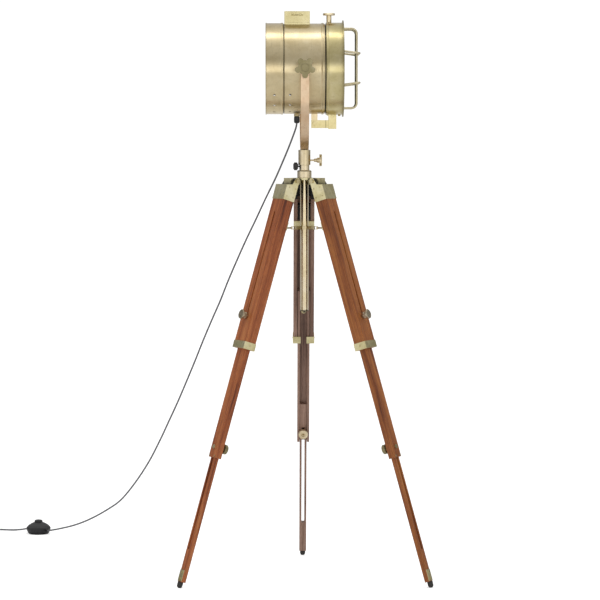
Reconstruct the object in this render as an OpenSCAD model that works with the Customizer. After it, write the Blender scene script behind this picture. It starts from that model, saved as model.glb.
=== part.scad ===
// Tripod floor lamp: three telescopic wooden legs, a sliding column and a round spot head.
// Millimetres. The floor is z = 0, the head points along +X, the rear leg stands on the +Y side.

/* [Stance] */
// height of the leg pivots above the floor
pivot_h = 1157; // [1100:1:1250]
// distance of each leg pivot from the column axis
pivot_r = 42; // [42:0.5:44]
// lean of each leg from upright in degrees
lean = 17.35; // [16:0.05:19]

/* [Upper leg] */
// width of the upper leg channel
upper_w = 61; // [58:0.5:64]
// depth of the upper leg channel
upper_d = 35.7; // [34:0.1:38]
// thickness of each cheek of the upper leg
cheek_t = 11; // [9.5:0.1:11.5]
// thickness of the outer web of the upper leg
web_t = 8.7; // [7:0.1:9]
// length of the upper leg below its pivot
upper_len = 508.3; // [500:0.1:520]
// width of the clamping slot in the outer web
slot_w = 6.6; // [6.4:0.1:9]

/* [Middle leg] */
// width of the middle leg channel
middle_w = 36; // [34:0.5:38]
// depth of the middle leg channel
middle_d = 21.5; // [20:0.1:22]
// width of the groove that the lower leg runs in
groove_w = 22; // [21.6:0.1:24]
// distance from the leg pivot to the top of the middle leg
middle_top = 343.6; // [330:0.1:360]
// length of the middle leg below the inner clamping bolt
middle_over = 30.9; // [24:0.1:36]

/* [Lower leg] */
// width of the lower leg slat
lower_w = 21; // [19:0.1:21.4]
// thickness of the lower leg slat
lower_t = 13.9; // [12:0.1:14]
// length of the lower leg above the inner clamping bolt
lower_over = 91.4; // [85:0.1:110]
// width of the slot in the lower leg
lower_slot_w = 8.6; // [7:0.1:9.5]
// radius of each rubber foot
tip_r = 8; // [6:0.1:9]

/* [Leg hardware] */
// thickness of the brass caps and bands
brass_t = 1.5; // [1:0.1:2]
// distance from the leg pivot to the outer clamping knob
outer_knob_w = 413; // [400:1:420]
// distance from the leg pivot to the inner clamping knob
inner_knob_w = 800.4; // [794:0.1:808]
// radius of the outer clamping knobs
outer_knob_r = 14; // [12:0.5:17]
// radius of the inner clamping knobs
inner_knob_r = 14; // [12:0.5:15]
// radius of the clamping bolts
stud_r = 3; // [2.5:0.1:3.1]

/* [Crown] */
// radius of the round crown plate
crown_r = 36; // [34:0.5:37]
// height of the crown
crown_t = 19; // [17:0.5:20]
// radius of the leg pivot bolts
pivot_bolt_r = 3; // [2.5:0.1:3.5]
// radius of the clamp collar on the crown
collar_r = 21; // [19:0.5:24]
// height of the clamp collar
collar_h = 22; // [20:0.5:24]

/* [Column] */
// radius of the sliding column
column_r = 12.15; // [11:0.05:12.5]
// height of the bottom end of the column above the floor
column_foot = 779; // [760:1:800]
// radius of the socket on top of the column
socket_r = 17.75; // [17:0.25:19]
// length of the socket
socket_len = 43.5; // [41:0.5:46]

/* [Spreader] */
// distance of the hub pins from the column axis
hub_pin_r = 29; // [28:0.5:30]
// height of the hub ring
hub_h = 10; // [8:0.5:10.5]
// radius of the link rods
link_r = 2.5; // [2:0.1:2.6]

/* [Yoke] */
// distance from the drum to the outer face of each yoke arm
yoke_side = 18; // [15.5:0.5:22]
// thickness of the yoke bar
yoke_t = 5; // [3:0.5:6]
// width of the yoke bar
yoke_w = 24; // [18:0.5:26]
// length of the straight part of each yoke arm
arm_len = 86.2; // [78:0.1:95]

/* [Head] */
// radius of the drum
drum_r = 130.5; // [127:0.5:132]
// wall thickness of the drum
wall = 1.5; // [1:0.1:2]
// half length of the head behind the tilt axis
back_x = 112.5; // [108:0.5:118]
// position of the seam between drum and front ring
seam_x = 61.5; // [61:0.5:64]
// position of the front of the front ring
front_x = 113; // [111:0.5:118]
// how far the front rim stands out from the front ring
rim_lip = 6.5; // [4:0.5:8]
// radius of the guard wires
wire_r = 3.25; // [2.5:0.05:3.5]
// diameter of the cooling holes in the drum
cool_d = 7; // [4:0.5:8]

/* [Lead] */
// radius of the lead
cord_r = 2.5; // [2.3:0.1:2.6]
// radius of the foot switch
switch_r = 39; // [36:0.5:42]
// mean radius of the coiled lead
coil_r = 27.5; // [26:0.5:30]

/* [Hidden] */
$fn = 64;

// running fit of turning and sliding round parts, on the radius
fit = 0.05;
// gap between flat faces that slide or swing past each other
gap = 0.3;

wood_a = [0.60, 0.34, 0.19];
brass = [0.74, 0.66, 0.45];
copper = [0.76, 0.56, 0.42];
steel = [0.62, 0.60, 0.56];
black = [0.10, 0.10, 0.10];

// stance: azimuths of the legs, rear first, and the shift that centres the footprint
az_1 = 90;
az_2 = 210;
az_3 = 330;
tip_u = 12;
tip_flat = 0.8;
tip_w = (pivot_h - tip_r + tip_flat + tip_u * sin(lean)) / cos(lean);
foot_r = pivot_r + tip_u * cos(lean) + tip_w * sin(lean);
axis_y = -round(foot_r * 10) / 40;

// upper leg: u runs outward across the leg, z runs up along it, both from the pivot
inner_u = -6.7;
outer_u = inner_u + upper_d;
web_u = outer_u - web_t;
ear_r = 8.5;
web_top = 18;
channel_w = upper_w - 2 * cheek_t;
slot_top = 100;
slot_end = outer_knob_w + stud_r + 0.5;
cap_len = 62;
band_h = 21.3;
band_gap = 17.5;
stop_top = 76;
stop_end = 120;

// middle and lower leg
middle_u = web_u - gap;
middle_in = middle_u - middle_d;
middle_web = 4;
lower_u = middle_u - middle_web - gap;
lower_in = lower_u - lower_t;
middle_end = inner_knob_w + middle_over;
lower_top = inner_knob_w - lower_over;
lower_end = tip_w - 10.5;
lower_slot_top = inner_knob_w - 15.7;
lower_slot_end = lower_end - 96;
plate_len = 33;

// crown and collar
crown_top = pivot_h + 9;
crown_plate = 6;
lug_r = 58;
lug_root = 22;
collar_z = crown_top;
sleeve_r = 14.75;
sleeve_top = collar_z + collar_h + 15.2;
lock_az = 180;
lock_z = sleeve_top - 3.9;
lock_r = 11.5;

// column and socket
socket_z = sleeve_top + gap;
socket_top = socket_z + socket_len;
column_top = socket_top - 17;
pan_z = socket_z + 13.5;

// spreader
bracket_w = 138.5;
bracket_u = -12;
bracket_t = 2;
pin_r = 1.5;
bracket_r = pivot_r + bracket_u * cos(lean) + bracket_w * sin(lean);
hub_z = pivot_h + bracket_u * sin(lean) - bracket_w * cos(lean);
link_len = bracket_r - hub_pin_r;
link_slot = 9;
link_slot_r = 2.9;
link_flat = 3;

// yoke and tilt
yoke_r = drum_r + yoke_side;
yoke_mid = yoke_r - yoke_t;
bend_z = socket_top + yoke_r;
axis_h = bend_z + arm_len;
stud_y = yoke_mid - gap;
tilt_r = 4;
boss_r = 12;

// head
rear_r = drum_r + 1;
ring_r = drum_r + 2.5;
rim_r = ring_r + rim_lip;
bore_r = drum_r - wall;
spigot_r = drum_r - 2;
groove_x = -60;
hinge_x = 29;
hinge_z = axis_h - drum_r - 27.5;
vent_x0 = -58;
vent_x1 = 15.5;
vent_w = 60;
vent_foot = axis_h + drum_r + 1.5;
vent_top = axis_h + drum_r + 34.5;
latch_x = 71;
latch_top = axis_h + ring_r + gap;
latch_foot_r = 7.3;
guard_y = 44.5;
guard_leg = drum_r - 16.5;
guard_x = 150.2;
guard_bend = 15;
glass_x = front_x - 3.5;
bowl_hole = 30;
bowl_back = -52;
bowl_lip = 52;
bowl_t = 2;
bowl_low = [60, -44];
bowl_mid = [88, -22];
bowl_high = [bore_r - 19, 12];
holder_r = 20;
holder_front = -38;
holder_back = wall + 11 - back_x;
bulb_base_r = 13.4;
bulb_r = 32;
bulb_x = 12;
rim_screw_x = front_x - 12;
block_screw_x = 80.5;

// lead: route from the gland to the switch, from the switch to the coil, round numbers
gland_x = -22;
gland_z = axis_h - drum_r - 27;
switch_at = [-850, 880];
coil_at = [-1062, 925];
coil_out = coil_r + cord_r;
coil_w = 4 * cord_r;
coil_h = 6 * cord_r;
// where a lead that leaves the outside turn in a straight line comes clear of the coil
coil_clear = sqrt(pow(coil_r + coil_w / 2, 2) - pow(coil_r, 2)) + 0.1;
boot_r = 4.5;
boot_len = switch_r + 7;
entry_z = 13.5;
in_dir = [0.684, -0.729];
out_dir = [-0.695, 0.719];
route_a = [
    [gland_x, 0, gland_z], [-26, 4, gland_z - 18], [-43, 23, 1260], [-61, 41, 1216],
    [-84, 66, 1163], [-114, 97, 1101], [-143, 129, 1038], [-172, 159, 977],
    [-199, 188, 916], [-225, 215, 855], [-249, 242, 794], [-276, 270, 732],
    [-302, 297, 670], [-327, 324, 607], [-353, 352, 544], [-380, 381, 480],
    [-409, 411, 416], [-439, 443, 351], [-474, 480, 282], [-518, 527, 212],
    [-566, 578, 150], [-612, 628, 112], [-668, 686, 75], [-722, 744, 47],
    [-778, 803, 26],
    [switch_at[0] + in_dir[0] * boot_len, switch_at[1] + in_dir[1] * boot_len, entry_z]
];
route_b = [
    [switch_at[0] + out_dir[0] * boot_len, switch_at[1] + out_dir[1] * boot_len, entry_z],
    [-905, 927, 7], [-940, 943, 2.6], [-982, 953, 2.6], [-1015, 955, 2.6],
    [coil_at[0] + coil_clear, coil_at[1] + coil_out, 2.6]
];
plug_at = [coil_at[0] - coil_out, coil_at[1] - 62, 6.5];
route_c = [
    [plug_at[0], coil_at[1] - coil_clear, coil_h - cord_r],
    [plug_at[0], coil_at[1] - 32, 11], [plug_at[0], coil_at[1] - 48, 7.2], plug_at
];

// ---------- helpers ----------
module on_axis() translate([0, axis_y, 0]) children();

module in_leg(az)
    on_axis() rotate([0, 0, az]) translate([pivot_r, 0, pivot_h]) rotate([0, -lean, 0]) children();

// a profile drawn in x and z, pushed out from y0 to y1
module across(y0, y1) translate([0, y1, 0]) rotate([90, 0, 0]) linear_extrude(y1 - y0) children();

module block(x0, x1, y0, y1, z0, z1) translate([x0, y0, z0]) cube([x1 - x0, y1 - y0, z1 - z0]);

module rod_x(x0, x1, r) translate([x0, 0, 0]) rotate([0, 90, 0]) cylinder(h = x1 - x0, r = r);

module rod_y(y0, y1, r) translate([0, y1, 0]) rotate([90, 0, 0]) cylinder(h = y1 - y0, r = r);

module rod_z(z0, z1, r) translate([0, 0, z0]) cylinder(h = z1 - z0, r = r);

// ---------- legs ----------
module ear_profile(end_w) {
    circle(r = ear_r);
    polygon([
        [inner_u, -5.2], [inner_u, -end_w], [outer_u, -end_w], [outer_u, -web_top], [12.5, 4.5 - web_top],
        [ear_r, -1]
    ]);
}

module upper_leg() color(wood_a) difference() {
    union() {
        across(-upper_w / 2, -channel_w / 2) ear_profile(upper_len);
        across(channel_w / 2, upper_w / 2) ear_profile(upper_len);
        block(web_u, outer_u, -upper_w / 2, upper_w / 2, -upper_len, -web_top);
    }
    rod_y(-upper_w, upper_w, pivot_bolt_r + fit);
    block(web_u - 1, outer_u + 1, -slot_w / 2, slot_w / 2, -slot_end, -slot_top);
}

// stop block across the channel, above the top of the middle leg
module stop_block() color(black)
    block(-1, web_u - fit, fit - channel_w / 2, channel_w / 2 - fit, -stop_end, -stop_top);

module nail(x, z) translate([x, 0, z]) rod_y(upper_w / 2 + brass_t - 0.5, upper_w / 2 + brass_t + 0.8, 1.8);

module cap() color(brass) difference() {
    union() {
        block(outer_u, outer_u + brass_t, -upper_w / 2 - brass_t, upper_w / 2 + brass_t, -cap_len, -web_top);
        for (s = [0, 1]) mirror([0, s, 0]) {
            across(upper_w / 2, upper_w / 2 + brass_t) ear_profile(cap_len);
            nail(0, -50);
            nail(22, -50);
            nail(20, -24);
            nail(0, -24);
        }
    }
    rod_y(-upper_w, upper_w, pivot_bolt_r + 0.4);
}

// C-shaped band round the foot of the upper leg and the bracket that holds the spreader link
module band() color(brass) {
    half = upper_w / 2;
    difference() {
        block(inner_u - brass_t, outer_u + brass_t, -half - brass_t, half + brass_t,
            -upper_len, band_h - upper_len);
        block(inner_u, outer_u, -half, half, -upper_len - 1, band_h - upper_len + 1);
        block(inner_u - 9, inner_u + 1, -band_gap / 2, band_gap / 2, -upper_len - 1, band_h - upper_len + 1);
    }
    for (s = [0, 1]) mirror([0, s, 0]) {
        across(link_r + gap, link_r + gap + bracket_t) {
            translate([bracket_u, -bracket_w]) circle(r = 3.5);
            translate([bracket_u, -bracket_w - 3.5]) square([inner_u - bracket_t - bracket_u + 0.1, 7]);
        }
        block(inner_u - bracket_t, inner_u, 0, half, -bracket_w - 7.5, -bracket_w + 16.5);
    }
    translate([bracket_u, 0, -bracket_w]) rod_y(-link_r - gap - 1, link_r + gap + 1, pin_r);
}

module link() color(brass) translate([bracket_u, 0, -bracket_w]) rotate([0, lean, 0]) {
    difference() {
        union() {
            rod_y(-link_r, link_r, link_r + 0.5);
            translate([16.3 - link_len, 0, 0]) rod_x(0, link_len - 16.5, link_r);
        }
        rod_y(-link_r - 1, link_r + 1, pin_r + fit);
    }
    across(-link_flat / 2, link_flat / 2) difference() {
        union() {
            translate([-link_len, 0]) circle(r = link_slot_r + 1.6);
            translate([-link_len, -link_slot_r - 1.6]) square([16.5, 2 * link_slot_r + 3.2]);
        }
        for (x = [0, link_slot]) translate([x - link_len, 0]) circle(r = link_slot_r);
        translate([-link_len, -link_slot_r]) square([link_slot, 2 * link_slot_r]);
    }
}

module middle_leg() color(wood_a) difference() {
    block(middle_in, middle_u, -middle_w / 2, middle_w / 2, -middle_end, -middle_top);
    block(middle_in - 1, middle_u - middle_web, -groove_w / 2, groove_w / 2, -middle_end - 1, -middle_top + 1);
    translate([0, 0, -outer_knob_w]) rod_x(0, outer_u, stud_r + fit);
    translate([0, 0, -inner_knob_w]) rod_x(0, outer_u, stud_r + fit);
}

// T-nut that takes the outer knob and the head of the inner bolt, both on the middle leg
module leg_bolts_set() color(steel) {
    difference() {
        translate([0, 0, -outer_knob_w]) rod_x(middle_u - middle_web - 2, middle_u - middle_web, 8);
        translate([0, 0, -outer_knob_w]) rod_x(0, outer_u, stud_r + fit);
    }
    translate([0, 0, -inner_knob_w]) {
        rod_x(middle_u, middle_u + 3.2, 6);
        rod_x(-11, middle_u + 1, stud_r);
    }
    for (s = [-1, 1]) translate([middle_u, s * (middle_w / 2 - 4.5), -middle_end + 5]) rod_x(0, 1.2, 2.6);
}

module outer_knob() color(brass) translate([0, 0, -outer_knob_w]) rotate([0, 90, 0]) rotate_extrude()
    polygon([
        [0, middle_u - middle_web - 2], [stud_r, middle_u - middle_web - 2], [stud_r, outer_u + gap],
        [outer_knob_r - 4.5, outer_u + gap], [outer_knob_r - 4.5, outer_u + 7], [outer_knob_r - 6, outer_u + 8.5],
        [outer_knob_r - 6, outer_u + 12.5], [outer_knob_r - 1, outer_u + 13], [outer_knob_r, outer_u + 14],
        [outer_knob_r, outer_u + 19.5], [outer_knob_r - 1, outer_u + 20.5], [0, outer_u + 20.5]
    ]);

module inner_knob() color(brass) translate([0, 0, -inner_knob_w]) rotate([0, -90, 0]) rotate_extrude()
    polygon([
        [stud_r + fit, -lower_in + 0.4], [8.5, -lower_in + 0.4], [8.5, 9], [inner_knob_r - 1, 9],
        [inner_knob_r, 10], [inner_knob_r, 19], [inner_knob_r - 1, 20], [6, 20], [5, 17], [stud_r + fit, 17]
    ]);

module lower_leg() color(wood_a) difference() {
    block(lower_in, lower_u, -lower_w / 2, lower_w / 2, -lower_end, -lower_top);
    block(lower_in - 1, lower_u + 1, -lower_slot_w / 2, lower_slot_w / 2, -lower_slot_end, -lower_slot_top);
}

module foot_plate() color(brass) {
    block(lower_u, lower_u + brass_t, -lower_w / 2, lower_w / 2, -lower_end + 2, -lower_end + 2 + plate_len);
    for (z = [9, plate_len - 5]) translate([lower_u + 0.5, 0, -lower_end + z]) rod_x(0, brass_t + 1.2, 3);
}

// rubber foot with a round end, cut flat where it stands on the floor
module foot_tip(az) color(black) difference() {
    in_leg(az) translate([tip_u, 0, 0]) rotate_extrude() {
        intersection() {
            translate([0, -tip_w]) circle(r = tip_r);
            translate([0, -tip_w - tip_r]) square([tip_r, tip_r + 0.01]);
        }
        translate([0, -tip_w]) square([tip_r, tip_w - lower_end]);
    }
    translate([-foot_r - 50, -foot_r - 200, -20]) cube([2 * foot_r + 100, 2 * foot_r + 200, 20]);
}

// ---------- crown, collar and column ----------
module crown() color(brass) on_axis() difference() {
    union() {
        rod_z(crown_top - crown_plate, crown_top, crown_r);
        for (az = [az_1, az_2, az_3]) rotate([0, 0, az])
            block(lug_root, lug_r, -channel_w / 2 + gap, channel_w / 2 - gap, crown_top - crown_t, crown_top);
    }
    rod_z(0, crown_top + 1, column_r + fit);
    for (az = [az_1, az_2, az_3]) rotate([0, 0, az]) translate([pivot_r, 0, pivot_h])
        rod_y(-upper_w, upper_w, pivot_bolt_r + fit);
}

module leg_bolts() color(steel) for (az = [az_1, az_2, az_3]) on_axis() rotate([0, 0, az])
    translate([pivot_r, 0, pivot_h]) {
        reach = upper_w / 2 + brass_t + gap;
        rod_y(-reach - 1, reach + 1, pivot_bolt_r);
        rod_y(reach, reach + 4, 6);
        rod_y(-reach - 4, -reach, 6);
    }

module collar() color(brass) on_axis() difference() {
    rotate_extrude() {
        translate([0, collar_z]) square([collar_r, collar_h - 4]);
        translate([0, collar_z]) square([collar_r - 4, collar_h]);
        translate([collar_r - 4, collar_z + collar_h - 4]) circle(r = 4);
        translate([0, collar_z]) square([sleeve_r, sleeve_top - collar_z]);
    }
    rod_z(0, sleeve_top + 1, column_r + fit);
    rotate([0, 0, lock_az]) translate([0, 0, lock_z]) rod_x(0, sleeve_r + 1, 2.5 + fit);
}

module lock_knob() color(black) on_axis() rotate([0, 0, lock_az]) translate([0, 0, lock_z])
    rotate([0, 90, 0]) {
        knob = socket_r + 0.65;
        rotate_extrude() polygon([
            [0, column_r + 0.1], [2.5, column_r + 0.1], [2.5, knob], [lock_r - 4.5, knob], [lock_r - 2, knob + 2.5],
            [lock_r - 2, knob + 11.5], [lock_r - 4.5, knob + 14], [0, knob + 14]
        ]);
        translate([0, 0, knob + 2.5]) linear_extrude(9) difference() {
            circle(r = lock_r);
            for (a = [0:40:320]) rotate(a) translate([lock_r + 1.7, 0]) circle(r = 2.6);
        }
    }

module column() color(brass) on_axis() difference() {
    union() {
        rod_z(column_foot, column_top, column_r);
        rod_z(column_foot - 5, column_foot + 1, 3.5);
    }
    rod_z(column_foot + 6, column_top + 1, column_r - 1.5);
}

module hub() color(brass) on_axis() {
    difference() {
        rod_z(hub_z - hub_h / 2, hub_z + hub_h / 2, column_r + 3.3);
        rod_z(0, hub_z + hub_h, column_r + 0.35);
    }
    for (az = [az_1, az_2, az_3]) rotate([0, 0, az]) {
        for (s = [0, 1]) mirror([0, s, 0])
            block(column_r + 2.3, hub_pin_r + 4, link_flat / 2 + gap, link_flat / 2 + gap + 2.2,
                hub_z - hub_h / 2, hub_z + hub_h / 2);
        translate([hub_pin_r, 0, hub_z]) rod_y(-4.6, 4.6, pin_r);
    }
}

// ---------- socket, pan screw and yoke ----------
module socket() color(brass) on_axis() difference() {
    union() {
        rod_z(socket_z, socket_top, socket_r);
        rod_z(socket_top, socket_top + yoke_t + 1, 4);
        rod_z(socket_top + yoke_t + gap, socket_top + yoke_t + 4.3, 8);
    }
    rod_z(0, column_top + 1, column_r + fit);
    translate([0, 0, pan_z]) rod_x(0, socket_r + 1, 3 + fit);
}

module pan_screw() color(brass) on_axis() translate([0, 0, pan_z]) rotate([0, 90, 0]) rotate_extrude() {
    start = socket_r + gap;
    polygon([
        [0, column_r + 0.1], [3, column_r + 0.1], [3, start], [2.3, start], [2.3, start + 9.5],
        [4.7, start + 10.5], [5.2, start + 14], [4.6, start + 16], [7.6, start + 20], [7.6, start + 25.5],
        [17.5, start + 25.5], [17.5, start + 31.5], [16, start + 33], [0, start + 33]
    ]);
}

module yoke() color(copper) on_axis() difference() {
    union() {
        translate([0, 0, bend_z]) rotate([0, 90, 0]) rotate([0, 0, -90]) rotate_extrude(angle = 180)
            translate([yoke_mid, -yoke_w / 2]) square([yoke_t, yoke_w]);
        for (s = [0, 1]) mirror([0, s, 0]) {
            block(-yoke_w / 2, yoke_w / 2, yoke_mid, yoke_r, bend_z, axis_h);
            translate([0, 0, axis_h]) rod_y(yoke_mid, yoke_r, yoke_w / 2);
        }
    }
    rod_z(0, bend_z, 4 + fit);
    translate([0, 0, axis_h]) rod_y(-yoke_r - 1, yoke_r + 1, tilt_r + fit);
}

module tilt_studs() color(steel) on_axis() translate([0, 0, axis_h]) for (s = [0, 1]) mirror([0, s, 0]) {
    rod_y(bore_r - 6, stud_y, boss_r);
    rod_y(bore_r - 6, yoke_r + 19, tilt_r);
}

module tilt_knob() color(brass) translate([0, 0, axis_h]) difference() {
    union() {
        rod_y(yoke_r + gap, yoke_r + 10, 13);
        across(yoke_r + 8, yoke_r + 20) {
            circle(r = 20.5);
            for (a = [0:72:288]) rotate(a - 90) translate([21.5, 0]) circle(r = 8.5);
        }
        rod_y(yoke_r + 19, yoke_r + 25, 11);
    }
    rod_y(0, yoke_r + 19.3, tilt_r + fit);
}

// ---------- head ----------
module turned() on_axis() translate([0, 0, axis_h]) rotate([0, 90, 0]) rotate_extrude($fn = 96) children();

// sheet metal profile: back, rear band with a rolled rim and bead, groove, drum, bead and spigot
module drum_profile() {
    translate([0, -back_x]) square([rear_r, wall + 0.5]);
    translate([rear_r - wall, -back_x]) square([wall, back_x + groove_x - 1.5]);
    translate([rear_r - wall, -back_x]) square([wall + 1.2, 3]);
    ridge(rear_r, groove_x - 9, 8, 1.2);
    translate([bore_r - 1.2, groove_x - 3]) square([rear_r - bore_r + 1.2, 1.5]);
    translate([bore_r - 1.2, groove_x - 3]) square([wall, 6]);
    translate([bore_r - 1.2, groove_x + 1.5]) square([wall + 1.2, 1.5]);
    translate([bore_r, groove_x + 1.5]) square([wall, seam_x - 3.5 - groove_x - 1.5]);
    ridge(drum_r, seam_x - 14, 9, 2);
    translate([spigot_r - wall, seam_x - 5]) square([drum_r - spigot_r + wall, 1.5]);
    translate([spigot_r - wall, seam_x - 5]) square([wall, 9]);
}

// raised bead with sloping sides on a wall of radius r
module ridge(r, start, width, height) polygon([
    [r - 0.5, start], [r, start], [r + height, start + width / 3], [r + height, start + width * 2 / 3],
    [r, start + width], [r - 0.5, start + width]
]);

module drum() color(brass) {
    difference() {
        union() {
            turned() drum_profile();
            on_axis() lug();
        }
        on_axis() translate([0, 0, axis_h]) {
            rod_y(-drum_r - 3, drum_r + 3, boss_r + fit);
            for (x = [-87, -42], a = [-54:18:54]) translate([x, 0, 0]) rotate([a, 0, 0])
                rod_z(-rear_r - 2, -bore_r + 6, cool_d / 2);
            block(-44, 2, -vent_w / 2 + 8, vent_w / 2 - 8, bore_r - 30, rear_r + 5);
        }
        on_axis() translate([gland_x, 0, 0]) rod_z(gland_z, axis_h - 100, 5 + fit);
        on_axis() translate([hinge_x, 0, hinge_z]) rod_y(-30, 30, 2.5 + fit);
    }
    on_axis() latch_tongue();
}

// centre leaf of the bottom hinge
module lug() across(-6, 6) {
    translate([hinge_x - 9, hinge_z - 9]) square([18, axis_h - drum_r + 0.6 - hinge_z + 9]);
}

module latch_tongue() block(seam_x - 1, latch_x + 3, -9, 9, axis_h + spigot_r - 2.6, axis_h + spigot_r - 0.2);

module vent_box() color(brass) on_axis() difference() {
    union() {
        block(vent_x0, vent_x1, -vent_w / 2 - 3, vent_w / 2 + 3, vent_foot - 14, vent_foot);
        block(vent_x0, vent_x1, -vent_w / 2, vent_w / 2, vent_foot - 14, vent_top);
        for (s = [-1, 1]) translate([0, s * vent_w / 2, vent_top - 10]) rod_x(vent_x0 + 20, vent_x1 - 19.5, 2.2);
    }
    translate([0, 0, axis_h]) rod_x(vent_x0 - 1, vent_x1 + 1, drum_r + 0.05);
    block(vent_x0 + 2, vent_x1 - 2, -vent_w / 2 + 2.3, vent_w / 2 - 2.3, axis_h, vent_top - 2);
    for (x = [vent_x0 + 11:7:vent_x1 - 11])
        block(x, x + 3, -vent_w / 2 + 8, vent_w / 2 - 8, vent_top - 4, vent_top + 1);
}

module reflector() color(steel) turned() polygon([
    [bowl_hole, bowl_back], [bowl_hole + bowl_t, bowl_back], bowl_low, bowl_mid, bowl_high,
    [bore_r - 4, bowl_lip - bowl_t], [bore_r - 0.1, bowl_lip - bowl_t], [bore_r - 0.1, bowl_lip],
    [bore_r - 6, bowl_lip], bowl_high + [-bowl_t, 1], bowl_mid + [-1, bowl_t], bowl_low + [-1, bowl_t],
    [bowl_hole, bowl_back + bowl_t]
]);

module lampholder() color(black) on_axis() translate([0, 0, axis_h]) {
    difference() {
        union() {
            rod_x(holder_back, holder_front, holder_r);
            rod_x(holder_front - 14, holder_front, holder_r + 3);
        }
        rod_x(holder_front - 32, holder_front + 8, bulb_base_r + 0.4);
    }
    translate([-back_x + wall + 0.5, 0, 0]) rod_x(0, 12, 30);
    rod_x(holder_back - 1.5, holder_back + 1, holder_r);
}

module bulb() color([0.95, 0.95, 0.92]) turned() difference() {
    union() {
        translate([0, holder_front - 30]) square([bulb_base_r, 34]);
        polygon([
            [0, holder_front + 2], [bulb_base_r, holder_front + 2], [bulb_base_r + 3.6, holder_front + 14],
            [bulb_r - 2, bulb_x - 10], [0, bulb_x - 10]
        ]);
        translate([0, bulb_x]) circle(r = bulb_r);
    }
    translate([-2 * bulb_r, -100]) square([2 * bulb_r, 200]);
}

module gland() color(black) on_axis() translate([gland_x, 0, 0]) {
    difference() {
        rotate_extrude() polygon([
            [0, gland_z], [5, gland_z], [7.5, gland_z + 2], [8.3, gland_z + 5], [8.3, gland_z + 18],
            [7.2, gland_z + 19.5], [8.3, gland_z + 21], [8.3, axis_h - drum_r - 0.3], [5, axis_h - drum_r - 0.3],
            [5, axis_h - bore_r + 6], [0, axis_h - bore_r + 6]
        ]);
        rod_z(gland_z + 6, axis_h, cord_r);
    }
    difference() {
        translate([0, 0, axis_h - bore_r + 0.4]) cylinder(h = 4, r = 10, $fn = 6);
        rod_z(gland_z, axis_h, 5);
    }
}

module front_ring() color(brass) {
    difference() {
        turned() {
            translate([ring_r - wall, seam_x]) square([wall, front_x - seam_x]);
            ridge(ring_r, seam_x + 2, 5, 1.2);
            translate([guard_leg, glass_x]) square([rim_r - guard_leg, front_x - glass_x]);
            translate([guard_leg + 6, glass_x - 6.3]) square([ring_r - guard_leg - 6.5, 2]);
        }
        on_axis() translate([latch_x, 0, 0]) {
            rod_z(axis_h, latch_top + 1, 3 + fit);
            rod_z(latch_top - gap / 2, latch_top + 3, latch_foot_r + 1);
        }
    }
    on_axis() difference() {
        union() {
            hinge_arm();
            translate([rim_screw_x, 0, 0]) rod_z(axis_h - ring_r - 4, axis_h, 3.6);
        }
        translate([0, 0, axis_h]) rod_x(seam_x, front_x, ring_r - 0.5);
    }
    on_axis() translate([hinge_x, 0, hinge_z]) {
        rod_y(-11, 11, 2.5);
        for (s = [0, 1]) mirror([0, s, 0]) rod_y(10.5, 12.5, 5.5);
    }
    for (s = [0, 1]) on_axis() mirror([0, s, 0]) translate([block_screw_x, 0, hinge_z + 19]) rod_y(10.5, 12, 4);
}

// two outer leaves of the bottom hinge, joined by the block under the front ring
module hinge_arm() {
    bar = [[20, -13.5], [69.5, -13.5], [69.5, -16], [92.5, -16], [92.5, 30], [seam_x + 0.5, 30],
        [seam_x + 0.5, 25.5], [69.5, 21], [69.5, 9.5], [20, 9.5]];
    for (s = [0, 1]) mirror([0, s, 0]) across(6 + gap, 10.5) translate([0, hinge_z]) polygon(bar);
    intersection() {
        across(-10.5, 10.5) translate([0, hinge_z]) polygon(bar);
        block(hinge_x + 21, 100, -11, 11, 0, axis_h);
    }
}

// one guard wire: two legs and a front bar in the x-y plane, with rounded corners
module guard_wire(front) {
    for (s = [0, 1]) mirror([0, s, 0]) {
        translate([0, guard_leg, 0]) rod_x(front_x, front - guard_bend, wire_r);
        translate([front - guard_bend, guard_leg - guard_bend, 0]) rotate_extrude(angle = 90, $fn = 48)
            translate([guard_bend, 0]) circle(r = wire_r, $fn = 24);
    }
    translate([front, 0, 0]) rod_y(guard_bend - guard_leg, guard_leg - guard_bend, wire_r);
}

module guard() color(brass) on_axis() translate([0, 0, axis_h]) {
    for (s = [-1, 1]) translate([0, s * guard_y, 0]) rotate([90, 0, 0]) guard_wire(guard_x);
    for (s = [-1, 1]) translate([0, 0, s * guard_y]) guard_wire(guard_x + 2 * wire_r - 0.3);
}

module glass() color([0.85, 0.9, 0.9]) turned()
    translate([0, glass_x - 4.2]) square([ring_r - wall - 0.4, 4.1]);

module latch_screw() color(brass) on_axis() translate([latch_x, 0, latch_top]) rotate_extrude() polygon([
    [0, -4.4], [3, -4.4], [3, 0], [latch_foot_r, 0], [latch_foot_r, 20.4], [17, 20.4], [17.5, 22],
    [17.5, 25.5], [16, 27], [0, 27]
]);

// ---------- lead, switch and plug ----------
module switch_body() color(black) on_axis() translate([switch_at[0], switch_at[1], 0]) {
    difference() {
        rotate_extrude() polygon([
            [0, 0], [31, 0], [34, 3], [switch_r - 0.5, 13], [switch_r, 16], [switch_r, 19],
            [switch_r - 1.5, 22], [switch_r - 7, 28], [22, 34], [16, 36.6], [0, 36.6]
        ]);
        rod_z(27, 40, 13.3);
    }
    for (d = [in_dir, out_dir]) rotate([0, 0, atan2(d[1], d[0])]) translate([0, 0, entry_z])
        rod_x(switch_r - 6, boot_len, boot_r);
}

module switch_button() color(black) on_axis() translate([switch_at[0], switch_at[1], 0])
    rotate_extrude() polygon([[0, 31.5], [13, 31.5], [13, 41.5], [11.5, 44], [7, 45.2], [0, 45.5]]);

function lerp3(p, q, t) = p + (q - p) * t;
function unit(v) = v / norm(v);
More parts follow.
